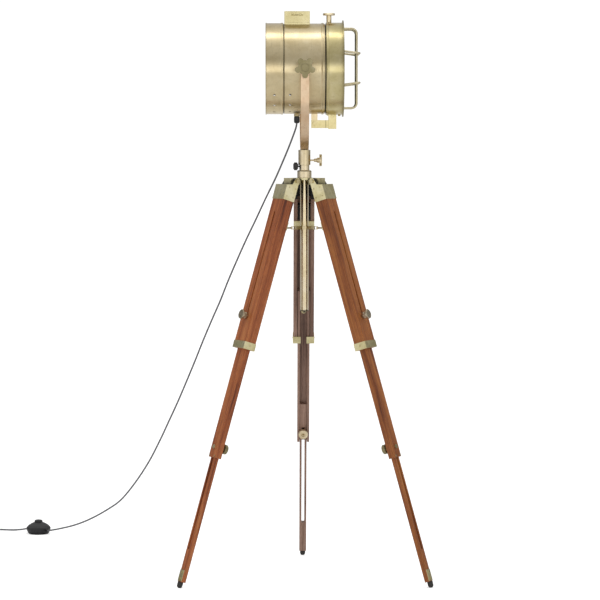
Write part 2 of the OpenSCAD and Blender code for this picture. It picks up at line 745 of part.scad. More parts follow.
// smooth curve through the route points
function spline(p, i, t) =
    let (a = p[max(i - 1, 0)], b = p[i], c = p[i + 1], d = p[min(i + 2, len(p) - 1)])
    0.5 * (2 * b + (c - a) * t + (2 * a - 5 * b + 4 * c - d) * t * t + (3 * b - 3 * c + d - a) * t * t * t);
function smooth_path(p, n) = [for (i = [0:len(p) - 2], k = [0:n - 1]) spline(p, i, k / n), p[len(p) - 1]];

module sweep(path, first, last, sides) {
    n = len(path);
    tangent = [for (i = [0:n - 1]) i == 0 ? first : i == n - 1 ? last : unit(path[i + 1] - path[i - 1])];
    side = [for (i = [0:n - 1]) unit(cross(tangent[i], [0.73, 0.68, 0]))];
    ring = [for (i = [0:n - 1], k = [0:sides - 1])
        path[i] + cord_r * (cos(360 * k / sides) * side[i] + sin(360 * k / sides) * cross(tangent[i], side[i]))];
    polyhedron(ring, concat(
        [[for (k = [0:sides - 1]) k]],
        [for (i = [0:n - 2], k = [0:sides - 1])
            [i * sides + k, (i + 1) * sides + k, (i + 1) * sides + (k + 1) % sides, i * sides + (k + 1) % sides]],
        [[for (k = [sides - 1:-1:0]) (n - 1) * sides + k]]
    ));
}

module cord_tube() color(black) on_axis() {
    sweep(smooth_path(route_a, 3), [0, 0, -1], [-in_dir[0], -in_dir[1], 0], 10);
    sweep(smooth_path(route_b, 4), [out_dir[0], out_dir[1], 0], [-1, 0, 0], 10);
    sweep(smooth_path(route_c, 3), [0, -1, 0], [0, -1, 0], 10);
}

module cord_coil() color(black) on_axis() translate([coil_at[0], coil_at[1], 0]) rotate_extrude()
    translate([coil_r, coil_h / 2]) {
        square([coil_w - 2, coil_h], center = true);
        square([coil_w, coil_h - 2], center = true);
    }

module plug() color(black) on_axis() translate(plug_at) {
    translate([0, 0, -6.5]) linear_extrude(13)
        polygon([[-6, 0], [6, 0], [17.5, -20], [17.5, -36], [-17.5, -36], [-17.5, -20]]);
    for (x = [-9.3, 9.3]) translate([x, 0, 0]) rod_y(-54.5, -35.5, 2);
}

// ---------- assembly ----------
crown();
leg_bolts();
collar();
lock_knob();
column();
hub();
in_leg(az_1) { upper_leg(); stop_block(); }  // upper_1
in_leg(az_2) { upper_leg(); stop_block(); }  // upper_2
in_leg(az_3) { upper_leg(); stop_block(); }  // upper_3
in_leg(az_1) cap();  // cap_1
in_leg(az_2) cap();  // cap_2
in_leg(az_3) cap();  // cap_3
in_leg(az_1) band();  // band_1
in_leg(az_2) band();  // band_2
in_leg(az_3) band();  // band_3
in_leg(az_1) link();  // link_1
in_leg(az_2) link();  // link_2
in_leg(az_3) link();  // link_3
in_leg(az_1) middle_leg();  // middle_1
in_leg(az_2) middle_leg();  // middle_2
in_leg(az_3) middle_leg();  // middle_3
in_leg(az_1) leg_bolts_set();  // bolts_1
in_leg(az_2) leg_bolts_set();  // bolts_2
in_leg(az_3) leg_bolts_set();  // bolts_3
in_leg(az_1) outer_knob();  // outer_knob_1
in_leg(az_2) outer_knob();  // outer_knob_2
in_leg(az_3) outer_knob();  // outer_knob_3
in_leg(az_1) inner_knob();  // inner_knob_1
in_leg(az_2) inner_knob();  // inner_knob_2
in_leg(az_3) inner_knob();  // inner_knob_3
in_leg(az_1) lower_leg();  // lower_1
in_leg(az_2) lower_leg();  // lower_2
in_leg(az_3) lower_leg();  // lower_3
in_leg(az_1) foot_plate();  // plate_1
in_leg(az_2) foot_plate();  // plate_2
in_leg(az_3) foot_plate();  // plate_3
foot_tip(az_1);  // foot_1
foot_tip(az_2);  // foot_2
foot_tip(az_3);  // foot_3
socket();
pan_screw();
yoke();
tilt_studs();
on_axis() mirror([0, 1, 0]) tilt_knob();  // tilt_knob_near
on_axis() tilt_knob();  // tilt_knob_far
drum();
vent_box();
reflector();
lampholder();
bulb();
gland();
front_ring();
guard();
glass();
latch_screw();
switch_body();
switch_button();
cord_tube();
cord_coil();
plug();
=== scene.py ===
# %% [markdown]
# # Tripod floor lamp
# A brass spot head on a sliding column, with three telescopic wooden legs. The imported CAD model is
# the fixed frame. This notebook paints it, adds the lead, the nails, the screws and the guard wires,
# and lights it.

# %% Load the frame
import math

import bpy
from mathutils import Euler, Matrix, Vector


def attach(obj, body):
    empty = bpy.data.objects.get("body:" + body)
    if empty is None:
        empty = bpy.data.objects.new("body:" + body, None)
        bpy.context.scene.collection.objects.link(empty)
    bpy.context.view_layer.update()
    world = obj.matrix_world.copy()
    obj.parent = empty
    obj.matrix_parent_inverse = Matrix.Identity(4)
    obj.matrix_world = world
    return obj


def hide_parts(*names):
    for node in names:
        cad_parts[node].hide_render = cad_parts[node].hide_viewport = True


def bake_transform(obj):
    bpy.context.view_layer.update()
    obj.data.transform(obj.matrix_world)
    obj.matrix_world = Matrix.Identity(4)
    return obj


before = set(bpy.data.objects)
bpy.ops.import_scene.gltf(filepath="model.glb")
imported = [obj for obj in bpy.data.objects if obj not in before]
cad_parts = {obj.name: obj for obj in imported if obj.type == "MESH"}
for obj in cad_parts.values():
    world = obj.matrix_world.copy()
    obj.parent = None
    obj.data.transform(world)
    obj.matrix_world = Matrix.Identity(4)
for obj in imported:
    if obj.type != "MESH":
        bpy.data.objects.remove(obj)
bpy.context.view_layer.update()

# %% [markdown]
# ## Measures
# Sizes that several cells share, in metres. The row frame has its z axis up from the floor. The
# column's axis stands a little off its origin.

# %% Shared measures
AXIS_Y = -0.10345  # the column's axis
HEAD_Z = 1.4817  # the axis of the head
LEAN = math.radians(17.35)
PIVOT_R, PIVOT_Z = 0.042, 1.157  # the leg pivots, from the column's axis and from the floor
LEG_AZIMUTHS = {1: 90, 2: 210, 3: 330}
LEGS = tuple(LEG_AZIMUTHS)


def on_axis(x, y, z):
    """A point given from the column's axis, in the row frame."""
    return Vector((x, y + AXIS_Y, z))


def leg_matrix(i):
    """Frame of leg i at its pivot: x outward across the leg, y along its width, z up along the leg."""
    return (
        Matrix.Translation((0, AXIS_Y, 0))
        @ Matrix.Rotation(math.radians(LEG_AZIMUTHS[i]), 4, "Z")
        @ Matrix.Translation((PIVOT_R, 0, PIVOT_Z))
        @ Matrix.Rotation(-LEAN, 4, "Y")
    )


print("pivot of leg 1", [round(v, 3) for v in leg_matrix(1).translation])

# %% [markdown]
# ## Camera
# A long lens, a little above the middle of the lamp, looking slightly down.

# %% Camera
CAMERA_PLACE = (-0.10385, -8.10831, 1.30167)
CAMERA_DOWN, CAMERA_TURN = 3.466, -0.644  # degrees

cam_data = bpy.data.cameras.new("camera")
cam_data.lens = 167.4
cam_data.sensor_width = 36
cam_data.clip_end = 60
cam = bpy.data.objects.new("camera", cam_data)
bpy.context.collection.objects.link(cam)
cam.location = on_axis(*CAMERA_PLACE)
cam.rotation_euler = Euler((math.radians(90 - CAMERA_DOWN), 0, math.radians(CAMERA_TURN)))
bpy.context.scene.camera = cam
print("camera", [round(v, 3) for v in cam.location])

# %% [markdown]
# ## Building blocks for the materials
# Every material is procedural. Colours are sRGB hex codes, and pattern sizes are in millimetres.

# %% Colours and nodes
def linear(hex_colour):
    """An sRGB colour such as "B08D57" as linear RGBA."""
    out = []
    for i in (0, 2, 4):
        c = int(hex_colour[i:i + 2], 16) / 255
        out.append(c / 12.92 if c <= 0.04045 else ((c + 0.055) / 1.055) ** 2.4)
    return (*out, 1.0)


def grey(v):
    """A grey of linear level v."""
    return (v, v, v, 1.0)


def put(tree, socket, value):
    """Links a socket, or sets its value."""
    if isinstance(value, bpy.types.NodeSocket):
        tree.links.new(value, socket)
    else:
        socket.default_value = value


def add(tree, kind, inputs=None, **settings):
    """Adds one node, with its settings, and its inputs as values or as links."""
    n = tree.nodes.new(kind)
    for key, value in settings.items():
        setattr(n, key, value)
    for key, value in (inputs or {}).items():
        put(tree, n.inputs[key], value)
    return n


def calc(tree, operation, *values):
    """One sum or comparison of values or links."""
    return add(tree, "ShaderNodeMath", dict(enumerate(values)), operation=operation).outputs[0]


def remap(tree, value, low, high, to_low=0.0, to_high=1.0):
    """A value brought from one range to another."""
    return add(tree, "ShaderNodeMapRange", {"Value": value, "From Min": low, "From Max": high,
                                            "To Min": to_low, "To Max": to_high}).outputs[0]


def components(tree, vector):
    """The X, Y and Z of a vector."""
    return add(tree, "ShaderNodeSeparateXYZ", {0: vector}).outputs


def ramp(tree, value, stops):
    """A colour ramp with stops of (position, colour)."""
    n = add(tree, "ShaderNodeValToRGB", {"Fac": value})
    e = n.color_ramp.elements
    while len(e) < len(stops):
        e.new(0.5)
    for element, (position, colour) in zip(e, stops):
        element.position = position
        element.color = colour
    return n.outputs["Color"]


def mix(tree, fac, a, b, blend="MIX"):
    """Two colours mixed, or multiplied together."""
    n = add(tree, "ShaderNodeMix", data_type="RGBA", blend_type=blend)
    for key, value in ((0, fac), (6, a), (7, b)):
        put(tree, n.inputs[key], value)
    return n.outputs[2]


# %% Patterns and surfaces
def object_coordinates(tree):
    """Where each point lies on its piece, in metres."""
    return add(tree, "ShaderNodeTexCoord").outputs["Object"]


def scaled(tree, vector, sizes):
    """Coordinates in metres, divided by pattern sizes given in millimetres."""
    return add(tree, "ShaderNodeVectorMath", {0: vector, 1: [1000 / s for s in sizes]},
               operation="MULTIPLY").outputs[0]


def noise(tree, vector, detail=4.0, roughness=0.55, distortion=0.0):
    """Soft noise with features one unit across."""
    return add(tree, "ShaderNodeTexNoise",
               {"Vector": vector, "Scale": 1.0, "Detail": detail, "Roughness": roughness,
                "Distortion": distortion}).outputs[0]


def rounded(tree, radius_mm):
    """Softened edges, as on cast or sanded work."""
    return add(tree, "ShaderNodeBevel", {"Radius": radius_mm / 1000}, samples=4).outputs[0]


def bump(tree, height, depth_mm, normal=None):
    """Fine relief from a height, over an optional normal."""
    inputs = {"Height": height, "Strength": 1.0, "Distance": depth_mm / 1000}
    if normal is not None:
        inputs["Normal"] = normal
    return add(tree, "ShaderNodeBump", inputs).outputs[0]


def start_material(name):
    """An empty material with its shader linked to its output."""
    m = bpy.data.materials.new(name)
    m.use_nodes = True
    tree = m.node_tree
    tree.nodes.clear()
    out = add(tree, "ShaderNodeOutputMaterial")
    shader = add(tree, "ShaderNodeBsdfPrincipled")
    tree.links.new(shader.outputs[0], out.inputs["Surface"])
    return m, tree, shader


def connect(tree, shader, **values):
    """Links or sets the shader's inputs; underscores stand for spaces."""
    for key, value in values.items():
        put(tree, shader.inputs[key.replace("_", " ")], value)


# %% [markdown]
# ## Wood
# Varnished hardwood with its grain along each leg. The three legs are cut from different planks, and
# the rear leg's faces inside its channel are painted greyer, as painted shade. Each upper leg has a
# black patch painted across its channel, and painted shade on the wood inside its cap.

# %% Wood
# A black patch painted across each upper leg's channel, and painted shade on the wood inside its cap
BLACK_PATCH_HALF_WIDTH = 0.0191
BLACK_PATCH_FRONT = 0.0204  # how far out from the pivot line the black patch reaches
BLACK_PATCH_MIDDLE, BLACK_PATCH_HALF_LENGTH = -0.098, 0.0225  # along the leg, from its pivot
CAP_SHADE_START = -0.055  # along the leg, above which the wood is inside its cap


def in_leg_frame(tree, vector, place, origin=(0, 0, 0)):
    """A point or a direction as seen from a leg: outward, along its width, and up along it."""
    return add(tree, "ShaderNodeMapping",
               {"Vector": vector, "Location": origin, "Rotation": place.to_euler("XYZ")},
               vector_type="TEXTURE").outputs[0]


def black_patch_and_cap_shade(tree, local):
    """1 on a black patch painted across the channel, and on the wood inside the cap, painted near black as
    shade where no light gets in.
    """
    out, across, up = components(tree, local)
    across = calc(tree, "COMPARE", across, 0.0, BLACK_PATCH_HALF_WIDTH)
    along = calc(tree, "COMPARE", up, BLACK_PATCH_MIDDLE, BLACK_PATCH_HALF_LENGTH)
    out = calc(tree, "LESS_THAN", out, BLACK_PATCH_FRONT)
    black_patch = calc(tree, "MULTIPLY", calc(tree, "MULTIPLY", across, along), out)
    return calc(tree, "MAXIMUM", black_patch, calc(tree, "GREATER_THAN", up, CAP_SHADE_START))


def outward(tree, place, local):
    """1 on the outer faces of a leg and on its two sides, 0 inside its channel and slots, where the rear
    leg's painted shade goes.
    """
    normal = add(tree, "ShaderNodeTexCoord").outputs["Normal"]
    out, across, _ = components(tree, in_leg_frame(tree, normal, place))
    side = calc(tree, "SIGN", components(tree, local)[1])
    side = calc(tree, "GREATER_THAN", calc(tree, "MULTIPLY", side, across), 0.5)
    return calc(tree, "MAXIMUM", side, calc(tree, "GREATER_THAN", out, 0.5))


def wood(name, i, shades, plank, outer=None):
    """Varnished hardwood along leg i, with shades from dark to light.

    plank shifts the figure. outer gives the shades of the outer faces, if they differ; then the main shades
    are painted shade, greyer, for the faces inside the channel."""
    m, tree, shader = start_material(name)
    place = leg_matrix(i)
    local = in_leg_frame(tree, object_coordinates(tree), place, place.translation)
    shift = (0.13 * plank, 0.29 * plank, 0.7 * plank)
    shifted = add(tree, "ShaderNodeVectorMath", {0: local, 1: shift}).outputs[0]
    broad = noise(tree, scaled(tree, shifted, (22, 22, 260)), 3.0, 0.5, 0.4)
    streak = noise(tree, scaled(tree, shifted, (3.2, 3.2, 150)), 6.0, 0.6, 0.3)
    pores = noise(tree, scaled(tree, shifted, (0.7, 0.7, 16)), 3.0, 0.6)
    figure = calc(tree, "MULTIPLY", calc(tree, "ADD", broad, streak), 0.5)
    stops = (0.34, 0.44, 0.54, 0.68)
    colour = ramp(tree, figure, [(at, linear(shade)) for at, shade in zip(stops, shades)])
    # On the rear leg, the faces inside the channel keep the greyer shades as painted shade
    if outer:
        outside = ramp(tree, figure, [(at, linear(shade)) for at, shade in zip(stops, outer)])
        colour = mix(tree, outward(tree, place, local), colour, outside)
    lines = ramp(tree, pores, [(0.36, grey(0.55)), (0.46, grey(1.0))])
    colour = mix(tree, 1.0, colour, lines, "MULTIPLY")
    # Near black on the painted patch in the channel, and as painted shade on the wood inside the cap
    colour = mix(tree, black_patch_and_cap_shade(tree, local), colour, linear("0D0D0E"))
    connect(tree, shader, Base_Color=colour, Roughness=remap(tree, streak, 0.3, 0.7, 0.34, 0.5),
            Normal=bump(tree, pores, 0.05, rounded(tree, 1.6)), Coat_Weight=0.15, Coat_Roughness=0.3,
            Specular_IOR_Level=0.3)
    return m


# %% [markdown]
# ## Metal
# Aged brass of several tones, copper, steel and aluminium. All share one build-up: fine brushing, soft
# tarnish in clouds and worn edges. The drum and its ring were spun, which draws their reflections out
# along the axis of the head.

# %% Metal
DRUM_BORE = 0.1297  # radius within which the drum's faces are its inside
BACK_PLATE = -0.1115  # x of the inner face of the drum's back plate
UNLIT = grey(0.012)


def from_head_axis(tree, here):
    """The offset of each point from the axis of the head, square to that axis."""
    offset = add(tree, "ShaderNodeVectorMath", {0: here, 1: (0, AXIS_Y, HEAD_Z)},
                 operation="SUBTRACT").outputs[0]
    return add(tree, "ShaderNodeVectorMath", {0: offset, 1: (0, 1, 1)}, operation="MULTIPLY").outputs[0]


def inside_drum(tree, here):
    """1 on the inside of the drum, short of its back plate."""
    radius = add(tree, "ShaderNodeVectorMath", {0: from_head_axis(tree, here)},
                 operation="LENGTH").outputs["Value"]
    inner = calc(tree, "LESS_THAN", radius, DRUM_BORE)
    return calc(tree, "MULTIPLY", inner, calc(tree, "GREATER_THAN", components(tree, here)[0], BACK_PLATE))


def back_of_bowl(tree, here):
    """1 on faces that look away from the axis of the head."""
    normal = add(tree, "ShaderNodeTexCoord").outputs["Normal"]
    out = add(tree, "ShaderNodeVectorMath", {0: from_head_axis(tree, here), 1: normal},
              operation="DOT_PRODUCT").outputs["Value"]
    return calc(tree, "GREATER_THAN", out, 0.0)


def grey_along_axis(tree, here, axis, marks):
    """A grey level along an axis, from marks of (millimetres, level): painted shade and painted highlights on
    the head, ring and crown, and a near-black lower end on the column.
    """
    start, end = marks[0][0], marks[-1][0]
    along = remap(tree, components(tree, here)[axis], start / 1000, end / 1000)
    return ramp(tree, along, [((mm - start) / (end - start), grey(v)) for mm, v in marks])


def metal(name, shades, rough=(0.22, 0.4), streak=(40, 40, 0.9), patina=None, edge=1.0, tarnish=0.35,
          spun=False, grey_marks=None, unlit=None):
    """Brushed metal in three shades, with tarnish of a patina colour.

    streak is the size of the brushing and edge the radius of the worn edges. An axis and marks of grey
    levels along it paint shade and highlights on the head, ring and crown, and darken the column's lower end.
    unlit makes a mask of faces that no light reaches."""
    m, tree, shader = start_material(name)
    here = object_coordinates(tree)
    clouds = noise(tree, scaled(tree, here, (55, 55, 55)), 4.0, 0.6, 0.5)
    blots = noise(tree, scaled(tree, here, (9, 9, 9)), 4.0, 0.65)
    brushed = noise(tree, scaled(tree, here, streak), 4.0, 0.7)
    base = ramp(tree, clouds, [(at, linear(shade)) for at, shade in zip((0.3, 0.5, 0.7), shades)])
    dull = ramp(tree, blots, [(0.5, grey(0.0)), (0.75, grey(tarnish))])
    base = mix(tree, dull, base, linear(patina or shades[0]))
    shine = ramp(tree, brushed, [(0.3, grey(0.9)), (0.7, grey(1.0))])
    base = mix(tree, 1.0, base, shine, "MULTIPLY")
    # Grey levels along an axis: painted shade and painted highlights on the head, ring and crown; a
    # near-black end on the column
    if grey_marks:
        base = mix(tree, 1.0, base, grey_along_axis(tree, here, *grey_marks), "MULTIPLY")
    if unlit:
        base = mix(tree, unlit(tree, here), base, UNLIT)
    connect(tree, shader, Base_Color=base, Metallic=1.0, Roughness=remap(tree, brushed, 0.3, 0.7, *rough),
            Normal=bump(tree, brushed, 0.012, rounded(tree, edge)))
    if spun:
        axis = add(tree, "ShaderNodeVectorTransform", {0: (1, 0, 0)}, vector_type="VECTOR",
                   convert_from="OBJECT", convert_to="WORLD").outputs[0]
        connect(tree, shader, Anisotropic=0.85, Tangent=axis)
    return m


# %% [markdown]
# ## Plastic, rubber, ceramic and glass

# %% Moulded pieces and glass
def moulded(name, shade, rough=0.5, grain_mm=0.8, depth=0.03, edge=0.8, coat=0.0, nut_above=None):
    """Moulded plastic or rubber with a fine grain and faint scuffs; brass above a height with a nut."""
    m, tree, shader = start_material(name)
    here = object_coordinates(tree)
    grain = noise(tree, scaled(tree, here, (grain_mm,) * 3), 3.0, 0.6)
    scuff = noise(tree, scaled(tree, here, (14, 14, 14)), 5.0, 0.65, 0.6)
    plain = linear(shade)
    scuffed = tuple(min(1.0, v * 1.7 + 0.004) for v in plain[:3]) + (1.0,)
    base = mix(tree, ramp(tree, scuff, [(0.5, grey(0.0)), (0.8, grey(0.6))]), plain, scuffed)
    connect(tree, shader, Base_Color=base, Roughness=remap(tree, scuff, 0.3, 0.7, rough - 0.08, rough + 0.1),
            Normal=bump(tree, grain, depth, rounded(tree, edge)), Coat_Weight=coat)
    if nut_above:
        nut = calc(tree, "GREATER_THAN", components(tree, here)["Z"], nut_above)
        connect(tree, shader, Base_Color=mix(tree, nut, base, linear("B7A680")), Metallic=nut)
    return m


def clear_glass(name):
    """Clear glass with a faint ripple and a few smears."""
    m, tree, shader = start_material(name)
    here = object_coordinates(tree)
    ripple = noise(tree, scaled(tree, here, (60, 60, 60)), 2.0, 0.5)
    smear = noise(tree, scaled(tree, here, (25, 25, 25)), 5.0, 0.6)
    connect(tree, shader, Base_Color=linear("F4FAF8"), Transmission_Weight=1.0,
            Roughness=remap(tree, smear, 0.4, 0.8, 0.0, 0.06), IOR=1.45, Normal=bump(tree, ripple, 0.02))
    return m


def opal_glass(name):
    """Milky glass, as on a frosted bulb."""
    m, tree, shader = start_material(name)
    cloud = noise(tree, scaled(tree, object_coordinates(tree), (30, 30, 30)), 3.0, 0.5)
    base = ramp(tree, cloud, [(0.3, linear("ECE8DC")), (0.7, linear("FBFAF4"))])
    connect(tree, shader, Base_Color=base, Roughness=0.25, Subsurface_Weight=0.3, Coat_Weight=0.5)
    shader.inputs["Subsurface Radius"].default_value = (0.01, 0.01, 0.009)
    return m


# %% [markdown]
# ## Paint the frame

# %% Painting
def paint(material, *names):
    """Gives every face of the named pieces one material."""
    for name in names:
        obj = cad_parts[name]
        if not obj.data.materials:
            obj.data.materials.append(material)
        for k in range(len(obj.data.materials)):
            obj.data.materials[k] = material


def each(*stems):
    """The names of the three pieces of each kind, one to a leg."""
    return [f"{stem}_{i}" for stem in stems for i in LEGS]


# %% Legs
# Shades of the wood by leg, dark to light. Leg 1's own shades are painted shade, greyer, for the faces inside
# its channel; its outer faces take leg 2's wood.
WOODS = {1: ("5E463A", "876858", "A38271", "BA9886"),
         2: ("662E15", "9A5028", "B7693A", "CA824C"),
         3: ("5A2A12", "8A4A20", "AA6530", "BE7C42")}
REAR = 1
for i in LEGS:
    for n, stem in enumerate(("upper", "middle", "lower")):
        outer = WOODS[2] if i == REAR else None
        paint(wood(f"sheesham_{stem}_{i}", i, WOODS[i], 3 * i + n, outer), f"{stem}_{i}")
print("wooden pieces", 3 * len(LEGS))

# %% Brass of the head: painted shade in its grooves, seams and rims, and a painted highlight in the rear groove, by millimetres along the head
X, Z = 0, 2
HEAD_PAINTED_LIGHT = (X, ((-114, 0.5), (-111.5, 0.55), (-110, 1.0), (-64, 1.0), (-62, 0.9), (-60, 1.06),
                 (-57.5, 0.92), (-55, 1.0), (48, 1.0), (52, 0.86), (55, 1.0), (58, 0.95), (61.5, 0.75),
                 (63, 0.95), (66, 1.0), (109, 1.0), (111.5, 0.6), (114, 0.5)))
# The ring: painted shade at its seam and its bead, and darker towards its front lip as painted shade
RING_PAINTED_SHADE = (X, ((0, 1.0), (59.5, 1.0), (61, 0.6), (62.5, 0.68), (64.5, 1.0), (66.5, 1.0), (69, 0.8),
                 (71, 1.0), (100, 0.94), (107, 0.82), (110.5, 0.62), (112, 0.45), (120, 0.45)))
# The crown: painted shade under its plate, darker towards the bottom
CROWN_PAINTED_SHADE = (Z, ((1140, 0.4), (1150, 0.6), (1161, 0.9), (1170, 1.0)))
# The column: near black below 781 mm
COLUMN_DARK_END = (Z, ((773, 0.12), (781, 0.15), (783, 1.0), (1300, 1.0)))

spun_brass = metal("spun_brass", ("D6C397", "E4D2A8", "EEDEB8"), rough=(0.27, 0.36),
                   streak=(0.7, 60, 60), patina="C2B084", spun=True, grey_marks=HEAD_PAINTED_LIGHT, unlit=inside_drum)
ring_brass = metal("ring_brass", ("D2C48F", "DED09C", "E9DCAF"), rough=(0.27, 0.36),
                   streak=(0.7, 60, 60), patina="B9AA74", spun=True, grey_marks=RING_PAINTED_SHADE)
sheet_brass = metal("sheet_brass", ("D5C896", "E2D6A6", "EDE2B8"), rough=(0.22, 0.34),
                    streak=(0.8, 30, 30), patina="BFB27C")

# %% Brass of the stand and the knobs
cast_brass = metal("aged_brass", ("CCC08E", "E2D7A8", "EFE6C0"), rough=(0.25, 0.4),
                   streak=(6, 6, 30), patina="AA9F6E", edge=0.8)
outer_knob_brass = metal("outer_knob_brass", ("A6977A", "BDAE92", "D2C6B0"), rough=(0.22, 0.4),
                         streak=(5, 5, 5), patina="8E8165", edge=1.5)
crown_brass = metal("crown_brass", ("CCC08E", "E2D7A8", "EFE6C0"), rough=(0.25, 0.4),
                    streak=(12, 12, 12), patina="AA9F6E", edge=0.8, grey_marks=CROWN_PAINTED_SHADE)
polished_brass = metal("polished_brass", ("B9AA88", "C7B898", "D1C5AC"), rough=(0.14, 0.24),
                       streak=(12, 12, 40), patina="A3936F", edge=0.8)
column_brass = metal("column_brass", ("CBBA95", "D8C9A6", "DED3B9"), rough=(0.16, 0.26),
                     streak=(12, 12, 40), patina="B4A37B", edge=0.8, grey_marks=COLUMN_DARK_END)
knob_brass = metal("knob_brass", ("877E5C", "9B916D", "AFA585"), rough=(0.3, 0.45),
                   streak=(5, 5, 5), patina="8C8158", edge=1.5)
pale_brass = metal("pale_brass", ("E0CDA6", "EEDCB6", "F6E8C8"), rough=(0.25, 0.38),
                   streak=(4, 4, 4), patina="C6B48C", edge=1.2)
nail_brass = metal("nail_brass", ("B7A77A", "D6C79A", "EADDB6"), rough=(0.25, 0.4),
                   streak=(2, 2, 2), edge=0.2)
wire_brass = metal("guard_wire_brass", ("C9BC96", "D8CCA8", "E6DCBE"), rough=(0.25, 0.38),
                   streak=(3, 3, 3), patina="A99B70", edge=0.2)

# %% Other metals
copper = metal("copper_brass", ("D3B28F", "E2C4A2", "EBD2B2"), rough=(0.24, 0.38),
               streak=(18, 18, 120), patina="C4A37E", edge=0.8)
bolt_brass = metal("bolt_brass", ("B4A67C", "CDBF94", "E2D6B0"), rough=(0.3, 0.45),
                   streak=(3, 3, 3), edge=0.6)
screw_steel = metal("screw_steel", ("8B8880", "A8A49A", "C2BEB2"), rough=(0.3, 0.45),
                    streak=(3, 3, 3), edge=0.2)
mirror = metal("reflector_aluminium", ("C9C9C6", "DCDCDA", "EEEEEC"), rough=(0.08, 0.16),
               streak=(1, 40, 40), patina="B9B9B5", edge=0.3, tarnish=0.1, unlit=back_of_bowl)

# %% Plastic, rubber and ceramic
NUT_FOOT = 1.3443  # height where the gland's nut begins
black_plastic = moulded("black_plastic", "1C1C1D", 0.4, 0.9, 0.02)
gland_plastic = moulded("cable_gland", "1C1C1D", 0.4, 0.9, 0.02, nut_above=NUT_FOOT)
lock_plastic = moulded("lock_plastic", "3A3838", 0.5, 0.9, 0.02)
foot_rubber = moulded("foot_rubber", "3A3734", 0.75, 0.6, 0.05, 1.2)
switch_plastic = moulded("switch_plastic", "1E1E20", 0.42, 0.7, 0.02, 0.8)
lead_sleeve = moulded("lead_sleeve", "66676A", 0.5, 0.5, 0.01, 0.1)
ceramic = moulded("holder_ceramic", "D8D4C8", 0.35, 2.0, 0.02, 0.8, 0.3)

# %% Which piece gets which
paint(spun_brass, "drum")
paint(ring_brass, "front_ring")
paint(sheet_brass, "vent_box")
paint(cast_brass, *each("cap", "band", "plate"))
paint(crown_brass, "crown")
paint(wire_brass, "guard")
paint(polished_brass, "collar", "socket", "hub", *each("link"))
paint(column_brass, "column")
paint(pale_brass, "pan_screw", "latch_screw", "inner_knob_1")
paint(knob_brass, "inner_knob_2", "inner_knob_3", "tilt_knob_near", "tilt_knob_far")
paint(outer_knob_brass, *each("outer_knob"))
paint(copper, "yoke")
paint(bolt_brass, "leg_bolts", "tilt_studs", *each("bolts"))
paint(mirror, "reflector")
paint(lock_plastic, "lock_knob")
paint(gland_plastic, "gland")
paint(black_plastic, "plug")
paint(ceramic, "lampholder")
paint(foot_rubber, *each("foot"))
paint(switch_plastic, "switch_body", "switch_button")
paint(clear_glass("front_glass"), "glass")
paint(opal_glass("opal_bulb"), "bulb")
print("materials", len(bpy.data.materials))

# %% [markdown]
# ## Pieces grown by rule
# Two Geometry Nodes trees make what follows a path or repeats: tubes along paths for the lead and the
# guard, and heads set on points for the nails and screws.

# %% Geometry Nodes helpers
def geometry_tree(name, **sockets):
    """A modifier tree with named inputs; returns the tree and the sockets that bring them in."""
    tree = bpy.data.node_groups.new(name, "GeometryNodeTree")
    tree.interface.new_socket("Geometry", in_out="OUTPUT", socket_type="NodeSocketGeometry")
    tree.interface.new_socket("Geometry", in_out="INPUT", socket_type="NodeSocketGeometry")
    for label, kind in sockets.items():
        tree.interface.new_socket(label, in_out="INPUT", socket_type="NodeSocket" + kind)
    return tree, add(tree, "NodeGroupInput").outputs


def close_tree(tree, geometry, material):
    """Ends a tree with real geometry that carries its material."""
    real = add(tree, "GeometryNodeRealizeInstances", {"Geometry": geometry}).outputs[0]
    named = add(tree, "GeometryNodeSetMaterial", {"Geometry": real, "Material": material}).outputs[0]
    add(tree, "NodeGroupOutput", {"Geometry": named})


def grown(name, tree, values, points, edges=(), facing=None):
    """Runs a tree on points and edges and keeps the result as a plain mesh."""
    mesh = bpy.data.meshes.new(name)
    mesh.from_pydata([tuple(p) for p in points], list(edges), [])
    if facing:
        way = mesh.attributes.new("facing", "FLOAT_VECTOR", "POINT")
        way.data.foreach_set("vector", [v for f in facing for v in f])
    obj = bpy.data.objects.new(name, mesh)
    bpy.context.collection.objects.link(obj)
    modifier = obj.modifiers.new(name, "NODES")
    modifier.node_group = tree
    for item in tree.interface.items_tree:
        if item.in_out == "INPUT" and item.name in values:
            modifier[item.identifier] = values[item.name]
    result = obj.evaluated_get(bpy.context.evaluated_depsgraph_get())
    plain = bpy.data.meshes.new_from_object(result)
    obj.modifiers.clear()
    obj.data = plain
    return obj


# %% [markdown]
# ### Round tube along a path
# The path becomes a curve, a ring with the stated radius and number of sides is swept along it, and
# both ends are closed.

# %% Tube tree
tube_tree, given = geometry_tree("tube_along_path", Radius="Float", Sides="Int", Material="Material")
curve = add(tube_tree, "GeometryNodeMeshToCurve", {"Mesh": given["Geometry"]}).outputs[0]
ring = add(tube_tree, "GeometryNodeCurvePrimitiveCircle",
           {"Resolution": given["Sides"], "Radius": given["Radius"]}).outputs[0]
tube = add(tube_tree, "GeometryNodeCurveToMesh",
           {"Curve": curve, "Profile Curve": ring, "Fill Caps": True}).outputs[0]
tube = add(tube_tree, "GeometryNodeSetShadeSmooth", {"Geometry": tube}).outputs[0]
close_tree(tube_tree, tube, given["Material"])


def tubes(name, paths, radius, material, sides=14):
    """One mesh of round tubes, one tube to each path."""
    points, edges = [], []
    for path in paths:
        edges += [(len(points) + k, len(points) + k + 1) for k in range(len(path) - 1)]
        points += path
    return grown(name, tube_tree, {"Radius": radius, "Sides": sides, "Material": material}, points, edges)


# %% [markdown]
# ### Domed heads on points
# One tree serves the nails and the screws. It squashes a ball to a dome, cuts a slot where a slot
# width is given, sets one dome on each point so that it faces the stored way, and turns each by a
# random angle from a fixed seed.

